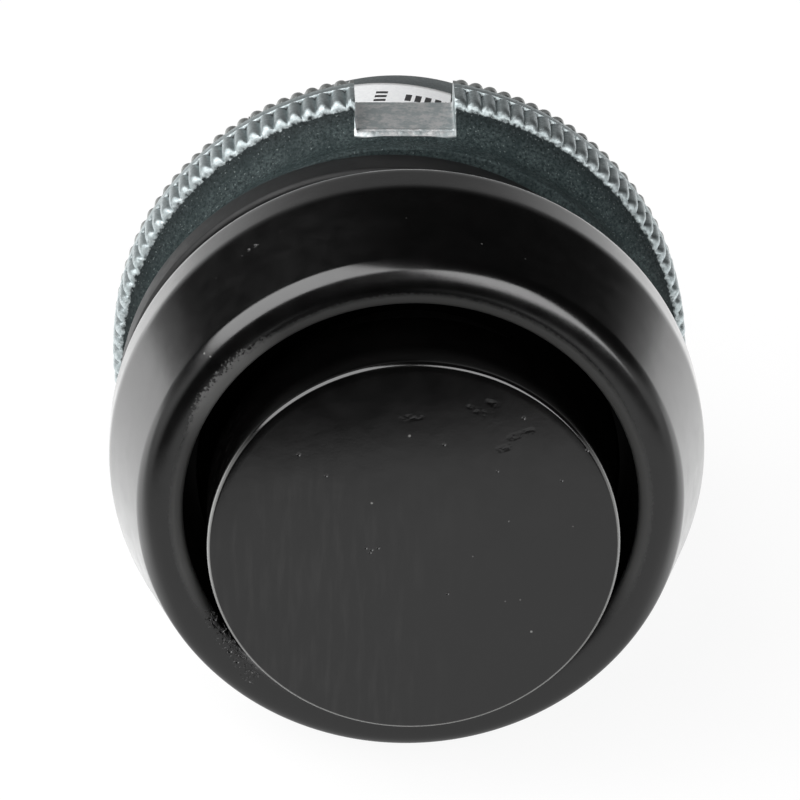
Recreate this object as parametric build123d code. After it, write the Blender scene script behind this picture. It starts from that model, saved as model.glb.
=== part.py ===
from build123d import *
import math
import os

os.makedirs("parts", exist_ok=True)

# All sizes are in millimetres and all angles in degrees.
# Y runs along the switch: the button faces -Y, and y = 0 is the gasket's front face, where the panel seats.
# Z points up through the notch in the flange.

# Panel seat and gasket
panel_gap = 6.0
gasket_thickness = 2.8
gasket_overhang = 0.2
gasket_slack = 0.8
gasket_edge_round = 0.4
gasket_sag_x = -0.5
gasket_sag_z = -0.5

# Bezel ring
bezel_radius = 21.25
bezel_height = 11.7
bezel_rim_height = 3.3
bezel_nose_inset = 3.35
bezel_nose_round = 1.4
bezel_face_width = 1.3
bezel_hole_round = 0.6
bezel_lip_drop = 0.35
bezel_rear_round = 0.3
bezel_recess_depth = 6.4

# Button and its travel
button_gap = 1.7
button_proud = 5.5
button_depth = 7.2
button_edge_round = 0.3
button_face_thickness = 3.0
button_wall = 2.0
button_hub_radius = 7.0
travel = 5.0

# Threaded neck and collar of the base casting
thread_ledge = 1.0
neck_wall = 2.8
neck_end_gap = 0.5
collar_step = 2.5
collar_length = 2.7
collar_fillet = 0.8

# Knurled flange and its notch
flange_setback = 0.05
flange_width = 5.3
ridge_count = 118
ridge_height = 0.42
front_row_turn = 0.63
rear_row_turn = 0.85
front_row_width = 3.3
parting_band = 0.9
parting_width = 0.15
parting_depth = 0.12
flange_front_round = 1.3
flange_rear_round = 0.5
notch_rise = 0.05
notch_floor_width = 6.9
notch_mouth_width = 7.7

# Rear cup and the web inside it
cup_radius = 15.0
cup_length = 13.9
cup_wall = 2.0
web_front = 1.0
web_thickness = 3.0

# Paper label on the cup
label_length = 15.0
label_height = 10.0
label_thickness = 0.12
label_rear_margin = 1.6
label_offset = 1.2
label_skew = 9.0

# Plunger, its seal, its spring and its retaining ring
shaft_radius = 5.0
running_gap = 0.05
piston_gap = 0.1
piston_thickness = 3.0
piston_wall = 1.7
piston_skirt = 8.0
spigot_radius = 4.0
spigot_length = 3.4
seal_radius = 8.0
seal_thickness = 1.6
washer_thickness = 0.8
washer_slip = 0.3
washer_bore_gap = 0.5
ring_radius = 6.6
ring_thickness = 1.0
ring_groove_radius = 4.2
ring_mouth = 4.6
shaft_tail = 3.6
spring_inset = 3.7
spring_wire = 0.65
spring_turns = 5.0

# Contact block in the rear cup
slip = 0.1
bore_slip = 0.05
cover_front = 14.0
cover_thickness = 1.5
block_half_width = 11.0
block_half_height = 6.6
block_tail = 11.0
terminal_bay = 4.6
chamber_wall = 1.7
block_screw_offset = 9.6
block_screw_radius = 1.5
block_screw_head_radius = 2.6
block_screw_head_height = 1.8
boss_radius = 2.8
boss_hole_depth = 6.0
block_screw_reach = 5.0

# Contact carrier and its two bridges
stem_radius = 3.0
tang_radius = 1.8
tang_length = 3.0
carrier_front = 17.0
carrier_length = 8.4
carrier_half_width = 2.6
window_front = 18.2
window_rear = 24.0
window_inner = 0.8
window_wall = 0.8
bridge_end_gap = 0.3
bridge_side_gap = 0.3
bridge_thickness = 0.8
contact_spring_radius = 1.0
contact_spring_wire = 0.18
contact_spring_turns = 4.0

# Fixed contacts, tips and terminals
strip_thickness = 0.8
strip_width = 2.8
strip_lead = 1.0
tip_radius = 1.0
tip_height = 0.6
tip_inset = 0.9
contact_gap = 0.05
leg_gap = 0.3
leg_thickness = 0.7
well_gap = 0.2
well_low = 0.6
well_wall = 1.0
terminal_inset = 2.0
terminal_screw_radius = 1.25
terminal_head_radius = 1.9
terminal_head_height = 1.7
terminal_screw_length = 5.0
clamp_half_size = 2.0
clamp_thickness = 0.8
slot_width = 0.7
slot_depth = 0.8

# Radii that follow from the bezel's, from the outside in
bezel_nose_radius = bezel_radius - bezel_nose_inset
lip_radius = bezel_nose_radius - bezel_face_width
bezel_hole_radius = lip_radius - bezel_hole_round
button_radius = bezel_hole_radius - button_gap
neck_radius = bezel_hole_radius - thread_ledge
neck_bore = neck_radius - neck_wall
ridge_tip_radius = bezel_radius - flange_setback
valley_radius = ridge_tip_radius - ridge_height
collar_radius = ridge_tip_radius - collar_step
gasket_radius = collar_radius + gasket_overhang
gasket_bore = neck_radius + gasket_slack
notch_floor = collar_radius + notch_rise
washer_radius = neck_bore - washer_slip
spring_radius = neck_bore - spring_inset

# Places across the contact block that follow from its outside
chamber_half_width = block_half_width - terminal_bay
chamber_half_height = block_half_height - chamber_wall
carrier_half_height = chamber_half_height - slip
window_outer = carrier_half_height - window_wall
pole_offset = (window_inner + window_outer) / 2
bridge_width = window_outer - window_inner - 2 * bridge_side_gap
bridge_half_length = chamber_half_width - bridge_end_gap
tip_offset = bridge_half_length - tip_inset
strip_inner = tip_offset - strip_lead
leg_inner = chamber_half_width + leg_gap
leg_outer = leg_inner + leg_thickness
well_inner = chamber_half_width + well_gap
well_high = block_half_height - well_wall
terminal_x = block_half_width - terminal_inset
terminal_z = block_half_height / 2

# Places along the axis that follow from the sizes
bezel_rear = -panel_gap
bezel_front = bezel_rear - bezel_height
button_front = bezel_front - button_proud
button_rear = button_front + button_depth
neck_front = button_rear + travel + neck_end_gap
collar_front = gasket_thickness
flange_front = collar_front + collar_length
flange_rear = flange_front + flange_width
band_front = flange_front + front_row_width
band_rear = band_front + parting_band
cup_rear = flange_rear + cup_length
cup_bore = cup_radius - cup_wall
web_rear = web_front + web_thickness
piston_rear = button_rear + piston_thickness
ring_front = web_rear + running_gap
shaft_rear = ring_front + ring_thickness + shaft_tail
cover_rear = cover_front + cover_thickness
block_rear = cup_rear + block_tail
carrier_rear = carrier_front + carrier_length
closed_tip_face = carrier_front + strip_thickness + tip_height
closed_bridge_front = closed_tip_face + contact_gap + tip_height
open_bridge_rear = window_rear
open_tip_face = open_bridge_rear + tip_height + travel + contact_gap
open_strip_front = open_tip_face + tip_height
strip_rear = open_strip_front + strip_thickness


def ring(inner, outer, front, rear):
    """A plain ring about the axis, between two places along it."""
    outline = Polyline((inner, front), (outer, front), (outer, rear), (inner, rear), close=True)
    return revolve(make_face(outline), Axis.Y)


def rod(radius, front, rear, x=0.0, z=0.0):
    """A round bar along the axis, or beside it."""
    place = Pos(x, (front + rear) / 2, z) * Rot(90, 0, 0)
    return place * Cylinder(radius, rear - front)


def block(x_low, x_high, y_low, y_high, z_low, z_high):
    """A box between two corners."""
    place = Pos((x_low + x_high) / 2, (y_low + y_high) / 2, (z_low + z_high) / 2)
    return place * Box(x_high - x_low, y_high - y_low, z_high - z_low)


def coil(radius, wire, front, rear, turns):
    """A wire coil whose outer faces lie at the two places along the axis."""
    height = rear - front - 2 * wire
    path = Helix(height / turns, height, radius, center=(0, front + wire, 0), direction=(0, 1, 0))
    section = Plane(path @ 0, z_dir=path % 0) * Circle(wire)
    return sweep(section, path=path, is_frenet=True)


def knurled_disc(front, rear, first_tip):
    """A disc whose rim is a row of round ridges along the axis. The first tip's turn is in ridges."""
    step = 2 * math.pi / ridge_count
    arcs = []
    for i in range(ridge_count):
        corners = []
        for radius, turn in ((valley_radius, -0.5), (ridge_tip_radius, 0.0), (valley_radius, 0.5)):
            angle = (i + first_tip + turn) * step
            corners.append((radius * math.sin(angle), front, radius * math.cos(angle)))
        arcs.append(ThreePointArc(*corners))
    return extrude(make_face(arcs), amount=rear - front, dir=(0, 1, 0))


def slotted_screw(radius, head_radius, head_height, seat, length, x, z):
    """A cheese-head screw that points forward, with its head behind the seat."""
    screw = rod(radius, seat - length, seat, x, z) + rod(head_radius, seat, seat + head_height, x, z)
    top = seat + head_height
    half = slot_width / 2
    reach = head_radius + 1
    return screw - block(x - reach, x + reach, top - slot_depth, top + 1, z - half, z + half)


def contact_tip(front, x, z):
    """A round contact tip, from its front face."""
    return rod(tip_radius, front, front + tip_height, x, z)


def terminal_hole(x, z):
    """A cutter for a terminal screw's hole through a strip."""
    return rod(terminal_screw_radius + bore_slip, open_strip_front, strip_rear, x, z)


def save(name, solids):
    """Writes one piece, or one group of like pieces, to its own file."""
    shape = solids[0] if len(solids) == 1 else Compound(children=list(solids))
    shape.label = name
    export_step(shape, f"parts/{name}.step")


# Bezel ring: a straight rim, a tapered side, a round nose, a sloped face and a small round into the hole
nose_y = bezel_front + bezel_nose_round
lip_y = bezel_front + bezel_lip_drop + bezel_hole_round
rim_y = bezel_rear - bezel_rim_height
side_run = math.hypot(bezel_radius - bezel_nose_radius, rim_y - nose_y)
side_lean = math.atan2(bezel_radius - bezel_nose_radius, rim_y - nose_y)
side_angle = side_lean - math.asin(bezel_nose_round / side_run)
face_run = math.hypot(bezel_nose_radius - lip_radius, lip_y - nose_y)
face_lean = math.atan2(nose_y - lip_y, bezel_nose_radius - lip_radius)
face_angle = math.pi / 2 + math.asin((bezel_nose_round - bezel_hole_round) / face_run) - face_lean


def on_nose(angle):
    """The point of the nose round whose outward direction has this angle, from outward to forward."""
    reach = bezel_nose_round
    return (bezel_nose_radius + reach * math.cos(angle), nose_y - reach * math.sin(angle))


def on_lip(angle):
    """The point of the hole's round whose outward direction has this angle, from outward to forward."""
    reach = bezel_hole_round
    return (lip_radius + reach * math.cos(angle), lip_y - reach * math.sin(angle))


recess_floor = bezel_front + bezel_recess_depth
thread_bore = neck_radius + bore_slip
rim_inset = bezel_rear_round * (1 - math.sqrt(0.5))
bezel_outline = [
    Line((thread_bore, bezel_rear), (bezel_radius - bezel_rear_round, bezel_rear)),
    ThreePointArc(
        (bezel_radius - bezel_rear_round, bezel_rear),
        (bezel_radius - rim_inset, bezel_rear - rim_inset),
        (bezel_radius, bezel_rear - bezel_rear_round),
    ),
    Line((bezel_radius, bezel_rear - bezel_rear_round), (bezel_radius, rim_y)),
    Line((bezel_radius, rim_y), on_nose(side_angle)),
    ThreePointArc(on_nose(side_angle), on_nose((side_angle + face_angle) / 2), on_nose(face_angle)),
    Line(on_nose(face_angle), on_lip(face_angle)),
    ThreePointArc(on_lip(face_angle), on_lip((face_angle + math.pi) / 2), on_lip(math.pi)),
    Line(on_lip(math.pi), (bezel_hole_radius, recess_floor)),
    Line((bezel_hole_radius, recess_floor), (thread_bore, recess_floor)),
    Line((thread_bore, recess_floor), (thread_bore, bezel_rear)),
]
bezel_ring = revolve(make_face(bezel_outline), Axis.Y)

# Gasket: a flat rubber washer with soft edges, loose on the neck, so it hangs a little off centre
gasket = ring(gasket_bore, gasket_radius, 0, gasket_thickness)
gasket_rims = gasket.edges().filter_by(GeomType.CIRCLE).sort_by(SortBy.RADIUS)
gasket = fillet(gasket_rims[-2:], gasket_edge_round)
gasket = Pos(gasket_sag_x, 0, gasket_sag_z) * gasket

# Base casting: neck, collar, web and rear cup turned as one profile
cast_core = collar_radius + collar_fillet
seal_rear = web_front + seal_thickness
shaft_bore = shaft_radius + running_gap
fillet_bend = collar_fillet * (1 - math.sqrt(0.5))
base_outline = [
    Polyline(
        (neck_bore, neck_front),
        (neck_radius, neck_front),
        (neck_radius, collar_front),
        (collar_radius, collar_front),
        (collar_radius, flange_front - collar_fillet),
    ),
    ThreePointArc(
        (collar_radius, flange_front - collar_fillet),
        (collar_radius + fillet_bend, flange_front - fillet_bend),
        (cast_core, flange_front),
    ),
    Polyline(
        (cast_core, flange_front),
        (cast_core, flange_rear),
        (cup_radius, flange_rear),
        (cup_radius, cup_rear),
        (cup_bore, cup_rear),
        (cup_bore, web_rear),
        (shaft_bore, web_rear),
        (shaft_bore, seal_rear),
        (seal_radius, seal_rear),
        (seal_radius, web_front),
        (neck_bore, web_front),
        (neck_bore, neck_front),
    ),
]
base_edges = [edge for line in base_outline for edge in line.edges()]
base_housing = revolve(make_face(base_edges), Axis.Y)

# Knurled flange: two rows of round ridges and the plain band of the die's parting line, in a rounded rim
flange = knurled_disc(flange_front, band_front, front_row_turn)
flange = flange + ring(0, ridge_tip_radius, band_front, band_rear)
flange = flange + knurled_disc(band_rear, flange_rear, rear_row_turn)
rim = ring(0, ridge_tip_radius, flange_front, flange_rear)
rim_edges = rim.edges().filter_by(GeomType.CIRCLE).sort_by(Axis.Y)
rim = fillet(rim_edges[:1], flange_front_round)
rim_edges = rim.edges().filter_by(GeomType.CIRCLE).sort_by(Axis.Y)
rim = fillet(rim_edges[-1:], flange_rear_round)
flange = flange & rim
parting_floor = ridge_tip_radius - parting_depth
flange = flange - ring(parting_floor, ridge_tip_radius + 1, band_rear - parting_width, band_rear)
flange = flange - ring(0, cup_radius, flange_front - 1, flange_rear + 1)
base_housing = base_housing + flange
notch_top = ridge_tip_radius + 1
notch_flare = (notch_mouth_width - notch_floor_width) / 2 / (ridge_tip_radius - notch_floor)
half_floor = notch_floor_width / 2
half_top = half_floor + notch_flare * (notch_top - notch_floor)
notch_start = flange_front - 1
notch_outline = Polyline(
    (-half_floor, notch_start, notch_floor),
    (half_floor, notch_start, notch_floor),
    (half_top, notch_start, notch_top),
    (-half_top, notch_start, notch_top),
    close=True,
)
base_housing = base_housing - extrude(make_face(notch_outline), amount=flange_width + 2, dir=(0, 1, 0))

# Two screw bosses in the cup carry the contact block
for side in (-1, 1):
    boss = rod(boss_radius, web_rear, cover_front, 0, side * block_screw_offset)
    base_housing = base_housing + boss
boss_hole_front = cover_front - boss_hole_depth
for side in (-1, 1):
    base_housing = base_housing - rod(
        block_screw_radius + bore_slip, boss_hole_front, cover_front, 0, side * block_screw_offset
    )

# Label: a paper strip stuck a little askew round the top of the cup
label_middle = cup_rear - label_rear_margin - label_height / 2
label = ring(cup_radius, cup_radius + label_thickness, flange_rear, cup_rear)
label_cutter = Box(label_length, label_height, cup_radius * 2)
label = label & (Pos(label_offset, label_middle, cup_radius) * Rot(0, 0, -label_skew) * label_cutter)

# Button: a flat disc with a side wall, and a hub that takes the plunger's spigot
button_head = rod(button_radius, button_front, button_rear)
button_rims = button_head.edges().filter_by(GeomType.CIRCLE).sort_by(Axis.Y)
button_head = fillet(button_rims[:1], button_edge_round)
button_core_front = button_front + button_face_thickness
button_head = button_head - ring(
    button_hub_radius, button_radius - button_wall, button_core_front, button_rear
)
button_head = button_head - rod(spigot_radius + bore_slip, button_rear - spigot_length, button_rear)

# Plunger: a skirted piston that slides in the neck, on a shaft that passes through the web
piston_radius = neck_bore - piston_gap
plunger = rod(piston_radius, button_rear, piston_rear)
skirt_rear = piston_rear + piston_skirt
plunger = plunger + ring(piston_radius - piston_wall, piston_radius, piston_rear, skirt_rear)
plunger = plunger + rod(shaft_radius, piston_rear, shaft_rear)
plunger = plunger + rod(spigot_radius, button_rear - spigot_length, button_rear)
plunger = plunger - ring(ring_groove_radius, shaft_radius + 1, ring_front, ring_front + ring_thickness)
plunger = plunger - rod(tang_radius + bore_slip, shaft_rear - tang_length, shaft_rear)

# Retaining ring: an open clip in the shaft's groove that stops the plunger against the web
retaining_ring = ring(ring_groove_radius, ring_radius, ring_front, ring_front + ring_thickness)
half_mouth = ring_mouth / 2
retaining_ring = retaining_ring - block(
    -half_mouth, half_mouth, ring_front - 1, ring_front + ring_thickness + 1, -ring_radius - 1, 0
)

# Seal in the web, the washer that holds it, and the return spring between washer and piston
rod_seal = ring(shaft_bore, seal_radius, web_front, seal_rear)
seal_washer = ring(shaft_radius + washer_bore_gap, washer_radius, web_front - washer_thickness, web_front)
return_spring = coil(spring_radius, spring_wire, piston_rear, web_front - washer_thickness, spring_turns)

# Contact block: a round plug in the cup and a square tail with a well for each terminal
plug_radius = cup_bore - slip
contact_block_body = rod(plug_radius, cover_rear, cup_rear)
contact_block_body = contact_block_body + block(
    -block_half_width, block_half_width, cup_rear, block_rear, -block_half_height, block_half_height
)
contact_block_body = contact_block_body - block(
    -chamber_half_width,
    chamber_half_width,
    cover_rear,
    strip_rear,
    -chamber_half_height,
    chamber_half_height,
)
for side in (-1, 1):
    contact_block_body = contact_block_body - rod(
        block_screw_radius + bore_slip, cover_rear, cup_rear, 0, side * block_screw_offset
    )
corners = [(x_side, z_side) for x_side in (-1, 1) for z_side in (-1, 1)]
for x_side, z_side in corners:
    well_x = sorted((x_side * well_inner, x_side * (block_half_width + 1)))
    well_z = sorted((z_side * well_low, z_side * well_high))
    well = block(*well_x, open_strip_front, block_rear + 1, *well_z)
    contact_block_body = contact_block_body - well
    contact_block_body = contact_block_body - rod(
        terminal_screw_radius + bore_slip,
        strip_rear - terminal_screw_length,
        strip_rear,
        x_side * terminal_x,
        z_side * terminal_z,
    )
half_strip = strip_width / 2
for x_side in (-1, 1):
    leg_x = sorted((x_side * chamber_half_width, x_side * leg_outer))
    leg_slot = block(*leg_x, cover_rear, strip_rear, pole_offset - half_strip, pole_offset + half_strip)
    contact_block_body = contact_block_body - leg_slot
    pass_x = sorted((x_side * (chamber_half_width - 1), x_side * (well_inner + 1)))
    strip_slot = block(
        *pass_x, open_strip_front, strip_rear, -pole_offset - half_strip, -pole_offset + half_strip
    )
    contact_block_body = contact_block_body - strip_slot

# Cover that closes the chamber and guides the carrier's stem
contact_block_cover = rod(plug_radius, cover_front, cover_rear)
contact_block_cover = contact_block_cover - rod(stem_radius + running_gap, cover_front, cover_rear)
for side in (-1, 1):
    contact_block_cover = contact_block_cover - rod(
        block_screw_radius + bore_slip, cover_front, cover_rear, 0, side * block_screw_offset
    )

# Screws that hold the block in the cup
block_screws = [
    slotted_screw(
        block_screw_radius,
        block_screw_head_radius,
        block_screw_head_height,
        cup_rear,
        cup_rear - cover_front + block_screw_reach,
        0,
        side * block_screw_offset,
    )
    for side in (-1, 1)
]

# Contact carrier: a stem pressed into the shaft, and a slider with a window for each bridge
contact_carrier = rod(stem_radius, shaft_rear, carrier_front)
contact_carrier = contact_carrier + rod(tang_radius, shaft_rear - tang_length, shaft_rear)
contact_carrier = contact_carrier + block(
    -carrier_half_width,
    carrier_half_width,
    carrier_front,
    carrier_rear,
    -carrier_half_height,
    carrier_half_height,
)
for side in (-1, 1):
    window_z = sorted((side * window_inner, side * window_outer))
    window = block(-carrier_half_width - 1, carrier_half_width + 1, window_front, window_rear, *window_z)
    contact_carrier = contact_carrier - window

# Bridges: the closed one rests on its contacts, the open one waits in front of its own
half_bridge = bridge_width / 2
bridge_closed = block(
    -bridge_half_length,
    bridge_half_length,
    closed_bridge_front,
    closed_bridge_front + bridge_thickness,
    pole_offset - half_bridge,
    pole_offset + half_bridge,
)
bridge_open = block(
    -bridge_half_length,
    bridge_half_length,
    open_bridge_rear - bridge_thickness,
    open_bridge_rear,
    -pole_offset - half_bridge,
    -pole_offset + half_bridge,
)

# Tips on the bridges and on the fixed contacts
bridge_tips = []
fixed_tips = []
for side in (-1, 1):
    x = side * tip_offset
    bridge_tips.append(contact_tip(closed_bridge_front - tip_height, x, pole_offset))
    bridge_tips.append(contact_tip(open_bridge_rear, x, -pole_offset))
    fixed_tips.append(contact_tip(closed_tip_face - tip_height, x, pole_offset))
    fixed_tips.append(contact_tip(open_tip_face, x, -pole_offset))

# Springs that press each bridge to its seat in the carrier
closed_spring = coil(
    contact_spring_radius,
    contact_spring_wire,
    closed_bridge_front + bridge_thickness,
    window_rear,
    contact_spring_turns,
)
open_spring = coil(
    contact_spring_radius,
    contact_spring_wire,
    window_front,
    open_bridge_rear - bridge_thickness,
    contact_spring_turns,
)
contact_springs = [Pos(0, 0, pole_offset) * closed_spring, Pos(0, 0, -pole_offset) * open_spring]

# Fixed contacts: bent strips for the closed pole, straight strips for the open pole
pad_low = terminal_z - clamp_half_size
pad_high = terminal_z + clamp_half_size
fixed_contacts_closed = []
fixed_contacts_open = []
for side in (-1, 1):
    front_x = sorted((side * strip_inner, side * leg_outer))
    bent = block(
        *front_x,
        carrier_front,
        carrier_front + strip_thickness,
        pole_offset - half_strip,
        pole_offset + half_strip,
    )
    leg_x = sorted((side * leg_inner, side * leg_outer))
    bent = bent + block(
        *leg_x, carrier_front, strip_rear, pole_offset - half_strip, pole_offset + half_strip
    )
    pad_x = sorted((side * leg_inner, side * block_half_width))
    bent = bent + block(*pad_x, open_strip_front, strip_rear, pad_low, pad_high)
    fixed_contacts_closed.append(bent - terminal_hole(side * terminal_x, terminal_z))
    strip_x = sorted((side * strip_inner, side * block_half_width))
    straight = block(
        *strip_x, open_strip_front, strip_rear, -pole_offset - half_strip, -pole_offset + half_strip
    )
    straight = straight + block(*pad_x, open_strip_front, strip_rear, -pad_high, -pad_low)
    fixed_contacts_open.append(straight - terminal_hole(side * terminal_x, -terminal_z))

# Terminal clamps and screws
terminal_clamps = []
terminal_screws = []
clamp_rear = strip_rear + clamp_thickness
for x_side, z_side in corners:
    x = x_side * terminal_x
    z = z_side * terminal_z
    clamp = block(
        x - clamp_half_size,
        x + clamp_half_size,
        strip_rear,
        clamp_rear,
        z - clamp_half_size,
        z + clamp_half_size,
    )
    terminal_clamps.append(clamp - rod(terminal_screw_radius + bore_slip, strip_rear, clamp_rear, x, z))
    terminal_screws.append(
        slotted_screw(
            terminal_screw_radius,
            terminal_head_radius,
            terminal_head_height,
            clamp_rear,
            clamp_thickness + terminal_screw_length - bore_slip,
            x,
            z,
        )
    )

# One file for each piece
save("base_housing", [base_housing])
save("bezel_ring", [bezel_ring])
save("gasket", [gasket])
save("label", [label])
save("button_head", [button_head])
save("plunger", [plunger])
save("retaining_ring", [retaining_ring])
save("rod_seal", [rod_seal])
save("seal_washer", [seal_washer])
save("return_spring", [return_spring])
save("contact_block_body", [contact_block_body])
save("contact_block_cover", [contact_block_cover])
save("block_screws", block_screws)
save("contact_carrier", [contact_carrier])
save("bridge_closed", [bridge_closed])
save("bridge_open", [bridge_open])
save("bridge_tips", bridge_tips)
save("contact_springs", contact_springs)
save("fixed_contacts_closed", fixed_contacts_closed)
save("fixed_contacts_open", fixed_contacts_open)
save("fixed_tips", fixed_tips)
save("terminal_clamps", terminal_clamps)
save("terminal_screws", terminal_screws)
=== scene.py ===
import math

import bpy
import numpy as np
from mathutils import Matrix, Quaternion, Vector


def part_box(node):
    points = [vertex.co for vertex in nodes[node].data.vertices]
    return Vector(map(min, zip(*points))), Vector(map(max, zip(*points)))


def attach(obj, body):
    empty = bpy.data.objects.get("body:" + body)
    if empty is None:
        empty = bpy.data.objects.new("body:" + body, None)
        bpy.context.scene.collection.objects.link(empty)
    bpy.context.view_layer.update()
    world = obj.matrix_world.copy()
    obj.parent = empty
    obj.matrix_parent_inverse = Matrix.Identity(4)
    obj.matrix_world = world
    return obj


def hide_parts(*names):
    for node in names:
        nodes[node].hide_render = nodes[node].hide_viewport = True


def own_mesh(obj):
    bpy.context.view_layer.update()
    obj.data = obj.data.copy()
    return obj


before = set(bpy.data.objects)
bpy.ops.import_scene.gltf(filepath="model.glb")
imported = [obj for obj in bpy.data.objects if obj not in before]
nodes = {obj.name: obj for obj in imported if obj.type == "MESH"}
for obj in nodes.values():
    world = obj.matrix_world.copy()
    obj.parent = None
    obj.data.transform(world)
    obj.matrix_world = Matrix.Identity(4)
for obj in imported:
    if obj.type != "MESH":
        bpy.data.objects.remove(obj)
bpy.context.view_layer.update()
scene = bpy.context.scene

# Sizes are in millimetres, as in the part's source, and MM turns them into metres.
# Y runs along the switch with the button facing -Y, and Z points up through the notch.
MM = 0.001
FULL_TURN = 2 * math.pi


def limits(name):
    """The lowest and the highest corner of a CAD node in millimetres, to a hundredth."""
    return [[round(v / MM, 2) for v in corner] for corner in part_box(name)]


# The CAD pieces give the main sizes and places
bezel_low, bezel_high = limits("bezel_ring")
button_low, button_high = limits("button_head")
base_low, base_high = limits("base_housing")
_, gasket_high = limits("gasket")
spring_low, spring_high = limits("return_spring")

# Neck, collar, cup and web of the base casting
NECK_RADIUS = 15.0
NECK_BORE = 12.2
NECK_FRONT = base_low[1]
COLLAR_RADIUS = 18.7
COLLAR_FRONT = gasket_high[1]
COLLAR_ROUND = 0.2
CUP_RADIUS = 15.0
CUP_BORE = 13.0
CUP_REAR = base_high[1]
CUP_ROUND = 0.3
WEB_REAR = 4.0
WEB_FRONT = 1.0
SEAL_REAR = 2.6
SEAL_RADIUS = 8.0
SHAFT_BORE = 5.05
BODY_COLUMNS = 256

# Bezel ring
BEZEL_RADIUS = bezel_high[0]
BEZEL_FRONT = bezel_low[1]
BEZEL_REAR = bezel_high[1]
RIM_FRONT = BEZEL_REAR - 3.5
RIM_ROUND = 3.5
REAR_ROUND = 0.7
NOSE_ROUND = 1.4
NOSE_CENTRE = (BEZEL_RADIUS - 3.35, BEZEL_FRONT + NOSE_ROUND)
NOSE_FIRST = 75.0
NOSE_LAST = 15.2
FACE_ROUND = 3.2
LIP_ROUND = 0.4
HOLE_RADIUS = 15.97
THREAD_BORE = NECK_RADIUS + 0.05
RECESS_FLOOR = BEZEL_FRONT + 6.4
BEZEL_COLUMNS = 360

# Button, with a small hole in the middle of its face that one flat polygon fills
BUTTON_RADIUS = button_high[0]
BUTTON_FRONT = button_low[1]
BUTTON_REAR = button_high[1]
BUTTON_ROUND = 0.3
BUTTON_CORE = BUTTON_FRONT + 3.0
BUTTON_INNER = BUTTON_RADIUS - 2.0
BUTTON_MIDDLE = 0.3
BUTTON_COLUMNS = 300
HUB_RADIUS = 7.0
SPIGOT_BORE = 4.05
SPIGOT_FLOOR = BUTTON_REAR - 3.4

# Gasket, which hangs to the left and down
GASKET_RADIUS = 19.7
GASKET_BORE = 16.8
GASKET_REAR = gasket_high[1]
GASKET_ROUND = 0.4
GASKET_SAG = (-1.05, -1.4)
GASKET_COLUMNS = 240

# Screw bosses in the cup, sunk a little into the web
BOSS_RADIUS = 2.8
BOSS_OFFSET = 9.6
BOSS_REAR = 14.0
BOSS_SUNK = 0.2
BOSS_COLUMNS = 32

# Neck thread. Crest and flank are shares of the pitch, and the cut starts at a share of its depth.
THREAD_PITCH = 1.5
THREAD_DEPTH = 0.75
THREAD_END = 1.4
THREAD_CREST = 0.10
THREAD_FLANK = 0.28
THREAD_RUN_OUT = 0.8
THREAD_LEAD = 0.5
THREAD_START = 0.3
THREAD_ROWS = 90

# Flange: a cone out of the collar, two rows of ridges and the die's parting band between them
CONE_FRONT = 4.65
CONE_FILLET = 1.5
CONE_ANGLE = math.radians(45)
CONE_REAR = 6.4
FLANGE_REAR = 10.8
FLANGE_REAR_ROUND = 0.5
TIP_RADIUS = -base_low[2]
RIDGE_HEIGHT = 0.42
RIDGE_COUNT = 118
RIDGE_COLUMNS = 9
RIDGE_RISE = 0.2
VALLEY_SHARE = 0.93
VALLEY_SOFT = 0.05
FRONT_TURN = 0.63
REAR_TURN = 0.85
REAR_DROP = 0.03
BAND_FRONT = 8.8
BAND_REAR = 9.7

# Rows of the flange's mesh along the axis. Those of the band also have their drop below the ridge tips.
FILLET_ROWS = np.linspace(0, 1.06, 9)
CONE_ROWS = [5.2, 5.4, 5.55, 5.68, 5.74, 5.8, 5.86, 5.92, 6.05, 6.2, 6.34]
RIDGE_ROWS = [6.40, 6.44, 6.49, 6.55, 6.62, 6.7, 6.8, 6.95, 7.2, 7.5, 7.9, 8.3, 8.6, BAND_FRONT - 0.02]
BAND_ROWS = [(8.81, 0.10), (8.86, 0.03), (8.95, 0.02), (9.25, 0.02), (9.50, 0.03), (9.55, 0.07), (9.68, 0.07)]
REAR_ROWS = [BAND_REAR + 0.02, 9.85, 10.1]
REAR_ROUND_ANGLES = np.radians(np.linspace(0, 84, 6))
BACK_RADII = [20.6, 19.0, 17.0, CUP_RADIUS]

# Angle from which an edge is sharp, in degrees
SHARP = 40.0
CAST_SHARP = 48.0

# Uneven flash where the cone meets the ridges, from waves round the flange
WOBBLE_WAVES = (97, 131, 211, 277, 353, 431)
WOBBLE_DIVISOR = 3
BEAD_HEIGHT = 0.065
BEAD_PLACE = 6.5
BEAD_WIDTH = 0.12

# Notch, with its wall as places beside its half width and heights, and the burr and step on its floor
NOTCH_FLOOR = 18.75
NOTCH_HALF = 3.6
NOTCH_CORNER = 0.15
NOTCH_WALL = [
    (-0.05, 18.78), (-0.01, 18.85), (0.0, 19.1), (0.0, 19.5), (0.0, 19.9), (0.0, 20.3),
    (0.01, 20.6), (0.02, 20.8), (0.06, 20.92), (0.13, 20.98), (0.22, 21.0),
]
NOTCH_COLUMNS = 26
NOTCH_LEAST_TURN = 0.006
NOTCH_SPACE = 0.002
BURR_HEIGHT = 0.16
BURR_PLACE = 5.2
BURR_WIDTH = 0.36
BURR_WOBBLE = 0.3
BURR_REACH = 0.2
STEP_DEPTH = 0.13
STEP_PLACE = 5.84
STEP_WIDTH = 0.09

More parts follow.
